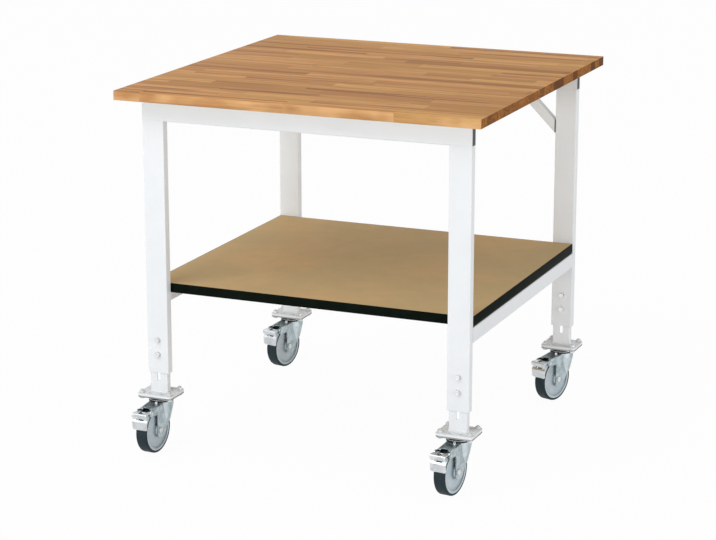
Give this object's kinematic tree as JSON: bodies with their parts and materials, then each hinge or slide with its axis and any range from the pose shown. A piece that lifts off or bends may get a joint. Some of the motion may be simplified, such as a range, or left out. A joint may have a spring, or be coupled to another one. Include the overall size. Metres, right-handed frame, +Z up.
{
  "type": "mobile assembly table",
  "caption": "Mobile assembly table: beech worktop on a welded tube frame with a shelf, height-adjustable legs and swivel castors with brake pedals.",
  "frame": {"origin": "on the floor under the middle of the worktop, with the legs at their shown height", "axes": "+X right along the worktop's grain, +Y to the rear, +Z up; the front faces -Y"},
  "size_m": [1, 1.0379, 0.975],
  "materials": {
    "beech": "oiled",
    "frame_paint": "satin powder coat",
    "charcoal_plastic": "matte",
    "strip_rubber": "matte",
    "board": "matte",
    "black_edging": "matte",
    "zinc": "zinc plated",
    "bolt_zinc": "zinc plated",
    "fork_zinc": "zinc plated",
    "pedal_zinc": "bright zinc",
    "wheel_plastic": "satin",
    "tyre": "matte"
  },
  "bodies": {
    "table": {"worktop": "beech", "worktop_screws": "zinc", "front_top_rail": "frame_paint", "rear_top_rail": "frame_paint", "brace_left": "frame_paint", "brace_right": "frame_paint", "brace_caps": "charcoal_plastic", "side_rail_left": "frame_paint", "side_rail_right": "frame_paint", "shelf_strips": "strip_rubber", "shelf_board": "board", "shelf_edging": "black_edging", "rail_end_caps": "charcoal_plastic", "height_bolts": "bolt_zinc", "height_washers": "bolt_zinc", "clamp_plates": "zinc", "outer_leg_front_left": "frame_paint", "outer_leg_front_right": "frame_paint", "outer_leg_rear_left": "frame_paint", "outer_leg_rear_right": "frame_paint"},
    "leg_front_left": {"inner_leg_front_left": "frame_paint", "foot_plate_front_left": "frame_paint", "castor_plate_front_left": "zinc", "castor_bolts_front_left": "bolt_zinc"},
    "castor_front_left": {"fork_front_left": "fork_zinc", "axle_front_left": "bolt_zinc", "brake_pins_front_left": "bolt_zinc"},
    "wheel_front_left": {"wheel_core_front_left": "wheel_plastic", "tyre_front_left": "tyre"},
    "pedal_front_left": {"pedal_front_left": "pedal_zinc"},
    "leg_front_right": {"inner_leg_front_right": "frame_paint", "foot_plate_front_right": "frame_paint", "castor_plate_front_right": "zinc", "castor_bolts_front_right": "bolt_zinc"},
    "castor_front_right": {"fork_front_right": "fork_zinc", "axle_front_right": "bolt_zinc", "brake_pins_front_right": "bolt_zinc"},
    "wheel_front_right": {"wheel_core_front_right": "wheel_plastic", "tyre_front_right": "tyre"},
    "pedal_front_right": {"pedal_front_right": "pedal_zinc"},
    "leg_rear_left": {"inner_leg_rear_left": "frame_paint", "foot_plate_rear_left": "frame_paint", "castor_plate_rear_left": "zinc", "castor_bolts_rear_left": "bolt_zinc"},
    "castor_rear_left": {"fork_rear_left": "fork_zinc", "axle_rear_left": "bolt_zinc", "brake_pins_rear_left": "bolt_zinc"},
    "wheel_rear_left": {"wheel_core_rear_left": "wheel_plastic", "tyre_rear_left": "tyre"},
    "pedal_rear_left": {"pedal_rear_left": "pedal_zinc"},
    "leg_rear_right": {"inner_leg_rear_right": "frame_paint", "foot_plate_rear_right": "frame_paint", "castor_plate_rear_right": "zinc", "castor_bolts_rear_right": "bolt_zinc"},
    "castor_rear_right": {"fork_rear_right": "fork_zinc", "axle_rear_right": "bolt_zinc", "brake_pins_rear_right": "bolt_zinc"},
    "wheel_rear_right": {"wheel_core_rear_right": "wheel_plastic", "tyre_rear_right": "tyre"},
    "pedal_rear_right": {"pedal_rear_right": "pedal_zinc"}
  },
  "joints": [
    {"name": "height_front_left", "type": "slide", "parent": "table", "child": "leg_front_left", "axis": [0, 0, -1], "range_m": [-0.05, 0.1]},
    {"name": "swivel_front_left", "type": "hinge", "parent": "leg_front_left", "child": "castor_front_left", "pos_m": [-0.4235, -0.421, 0], "axis": [0, 0, 1], "continuous": true},
    {"name": "roll_front_left", "type": "hinge", "parent": "castor_front_left", "child": "wheel_front_left", "pos_m": [-0.42626, -0.46491, 0.0625], "axis": [0.998, -0.0628, 0], "continuous": true},
    {"name": "brake_front_left", "type": "hinge", "parent": "castor_front_left", "child": "pedal_front_left", "pos_m": [-0.42877, -0.50483, 0.118], "axis": [-0.998, 0.0628, 0], "range_deg": [0, 22]},
    {"name": "height_front_right", "type": "slide", "parent": "table", "child": "leg_front_right", "axis": [0, 0, -1], "range_m": [-0.05, 0.1]},
    {"name": "swivel_front_right", "type": "hinge", "parent": "leg_front_right", "child": "castor_front_right", "pos_m": [0.4235, -0.421, 0], "axis": [0, 0, 1], "continuous": true},
    {"name": "roll_front_right", "type": "hinge", "parent": "castor_front_right", "child": "wheel_front_right", "pos_m": [0.41768, -0.46461, 0.0625], "axis": [0.9912, -0.1323, 0], "continuous": true},
    {"name": "brake_front_right", "type": "hinge", "parent": "castor_front_right", "child": "pedal_front_right", "pos_m": [0.41239, -0.50426, 0.118], "axis": [-0.9912, 0.1323, 0], "range_deg": [0, 22]},
    {"name": "height_rear_left", "type": "slide", "parent": "table", "child": "leg_rear_left", "axis": [0, 0, -1], "range_m": [-0.05, 0.1]},
    {"name": "swivel_rear_left", "type": "hinge", "parent": "leg_rear_left", "child": "castor_rear_left", "pos_m": [-0.4235, 0.421, 0], "axis": [0, 0, 1], "continuous": true},
    {"name": "roll_rear_left", "type": "hinge", "parent": "castor_rear_left", "child": "wheel_rear_left", "pos_m": [-0.43242, 0.37791, 0.0625], "axis": [0.9792, -0.2028, 0], "continuous": true},
    {"name": "brake_rear_left", "type": "hinge", "parent": "castor_rear_left", "child": "pedal_rear_left", "pos_m": [-0.44053, 0.33875, 0.118], "axis": [-0.9792, 0.2028, 0], "range_deg": [0, 22]},
    {"name": "height_rear_right", "type": "slide", "parent": "table", "child": "leg_rear_right", "axis": [0, 0, -1], "range_m": [-0.05, 0.1]},
    {"name": "swivel_rear_right", "type": "hinge", "parent": "leg_rear_right", "child": "castor_rear_right", "pos_m": [0.4235, 0.421, 0], "axis": [0, 0, 1], "continuous": true},
    {"name": "roll_rear_right", "type": "hinge", "parent": "castor_rear_right", "child": "wheel_rear_right", "pos_m": [0.4099, 0.37915, 0.0625], "axis": [0.9511, -0.309, 0], "continuous": true},
    {"name": "brake_rear_right", "type": "hinge", "parent": "castor_rear_right", "child": "pedal_rear_right", "pos_m": [0.39754, 0.34111, 0.118], "axis": [-0.9511, 0.309, 0], "range_deg": [0, 22]}
  ]
}
